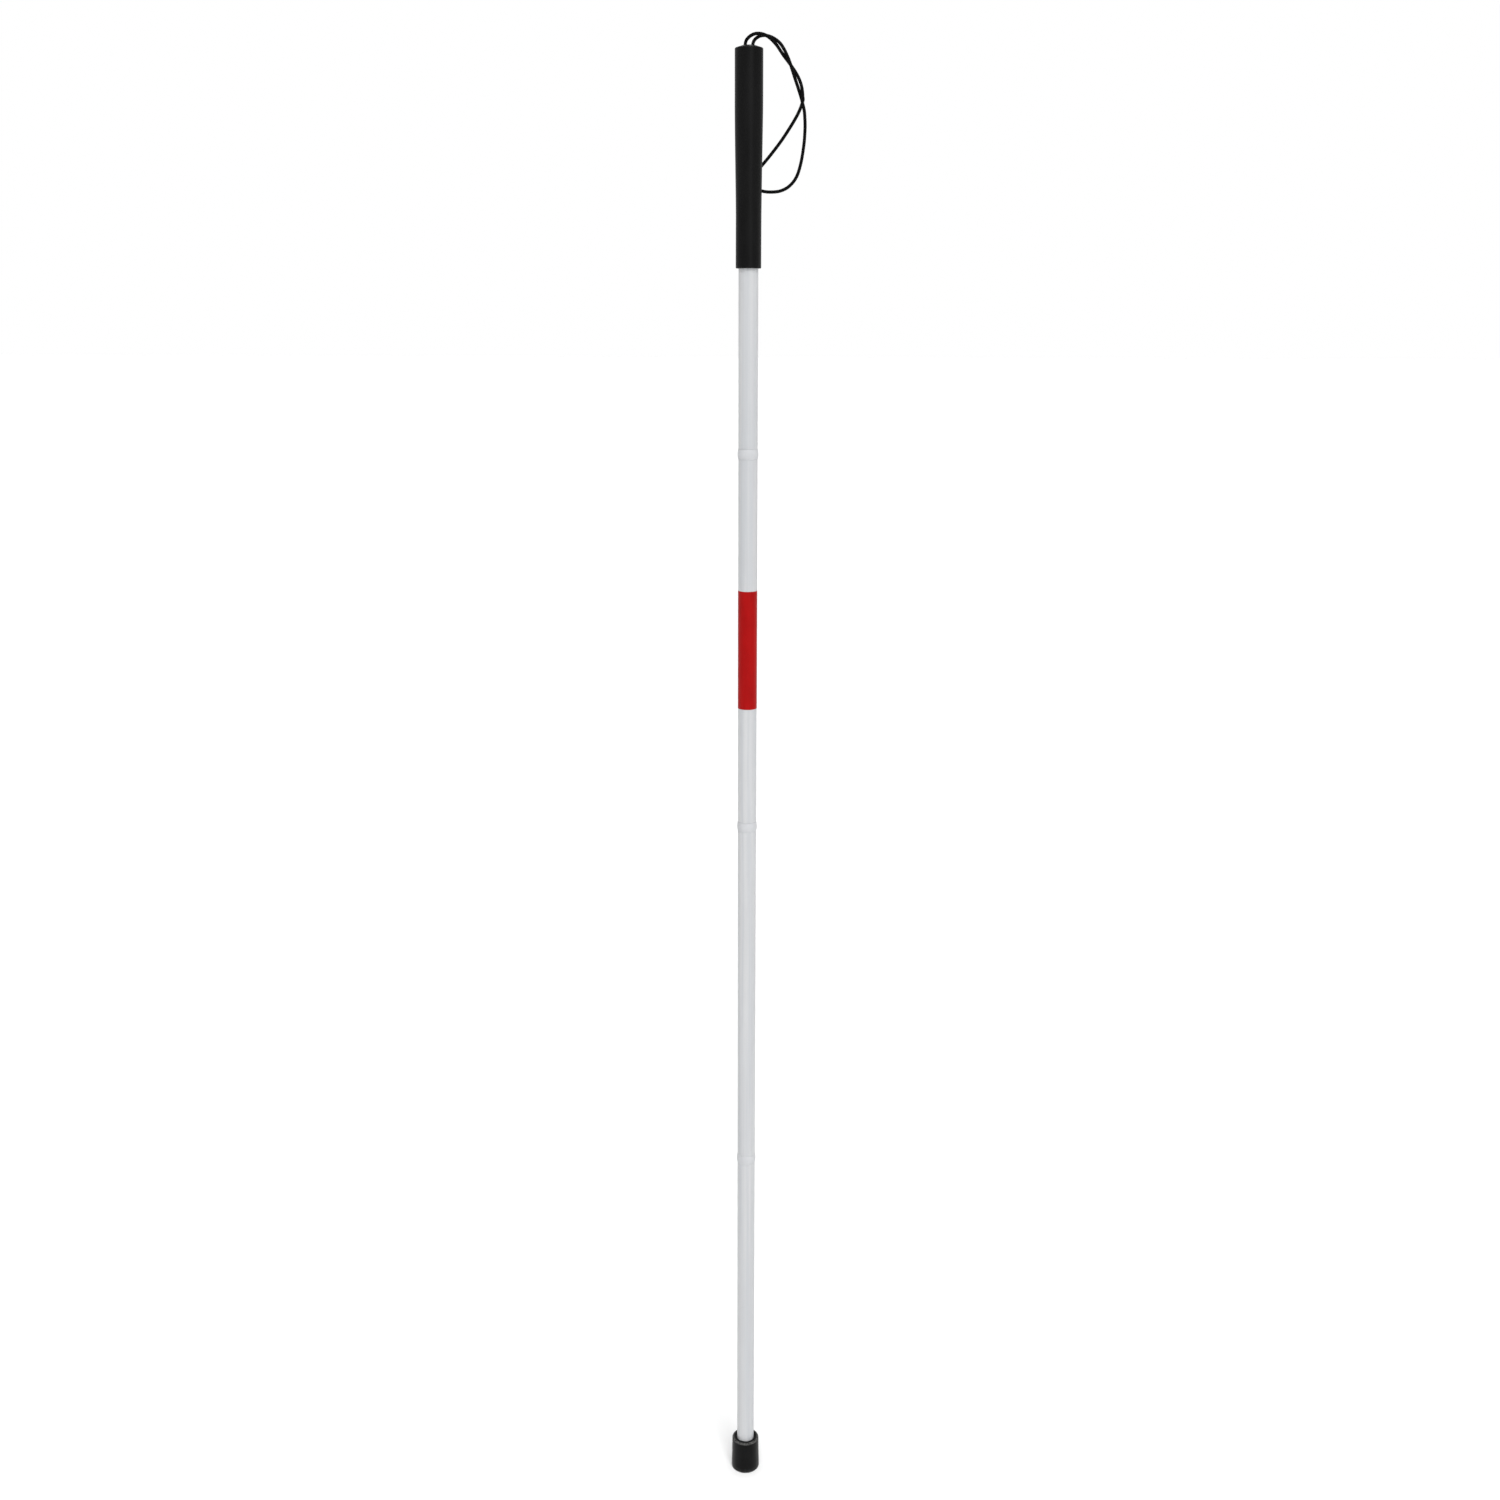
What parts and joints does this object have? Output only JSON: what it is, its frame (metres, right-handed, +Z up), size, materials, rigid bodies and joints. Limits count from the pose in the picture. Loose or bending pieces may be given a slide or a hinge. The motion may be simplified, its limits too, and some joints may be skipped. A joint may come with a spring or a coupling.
{
  "type": "white cane",
  "caption": "Folding white cane: jointed straight shaft with a black grip, a wrist cord, a red band and a rubber tip.",
  "frame": {"origin": "centre of the rubber tip's sole, on the floor under the shaft's axis", "axes": "+Z up the shaft towards the grip; +X towards the side that the wrist cord hangs on; -Y is the side seen in front"},
  "size_m": [0.0486, 0.0229, 1.0747],
  "materials": {
    "grip_rubber": "matte black rubber",
    "tip_rubber": "matte black rubber",
    "white_tube": "white coated aluminium tube",
    "nylon": "white moulded nylon",
    "red_film": "red reflective film",
    "wrist_cord": "black braided cord",
    "elastic": "braided elastic cord",
    "steel": "zinc plated steel"
  },
  "bodies": {
    "handle_section": {"grip": "grip_rubber", "cord_anchor": "nylon", "cord_knot_right": "wrist_cord", "cord_knot_left": "wrist_cord", "wrist_cord": "wrist_cord", "tube_1": "white_tube", "elastic_washer": "steel", "elastic_knot_top": "elastic", "elastic_cord_1": "elastic"},
    "upper_section": {"joint_plug_1": "nylon", "tube_2": "white_tube", "red_band": "red_film", "elastic_cord_2": "elastic"},
    "lower_section": {"joint_plug_2": "nylon", "tube_3": "white_tube", "elastic_cord_3": "elastic"},
    "tip_section": {"joint_plug_3": "nylon", "tube_4": "white_tube", "elastic_cord_4": "elastic", "tip_plug": "nylon", "elastic_knot_low": "elastic", "tip_washer": "steel", "rubber_tip": "tip_rubber"}
  },
  "joints": [
    {"name": "fold_1", "type": "hinge", "parent": "handle_section", "child": "upper_section", "pos_m": [-0.01, 0, 0.811], "axis": [0, 1, 0], "range_deg": [0, 179.5], "stiffness_Nm_per_rad": 0.12, "springref_deg": -45.84},
    {"name": "fold_2", "type": "hinge", "parent": "upper_section", "child": "lower_section", "pos_m": [0, -0.01, 0.545], "axis": [-1, 0, 0], "range_deg": [0, 179.5], "stiffness_Nm_per_rad": 0.12, "springref_deg": -45.84},
    {"name": "fold_3", "type": "hinge", "parent": "lower_section", "child": "tip_section", "pos_m": [0.01, 0, 0.279], "axis": [0, -1, 0], "range_deg": [0, 179.5], "stiffness_Nm_per_rad": 0.12, "springref_deg": -45.84}
  ]
}
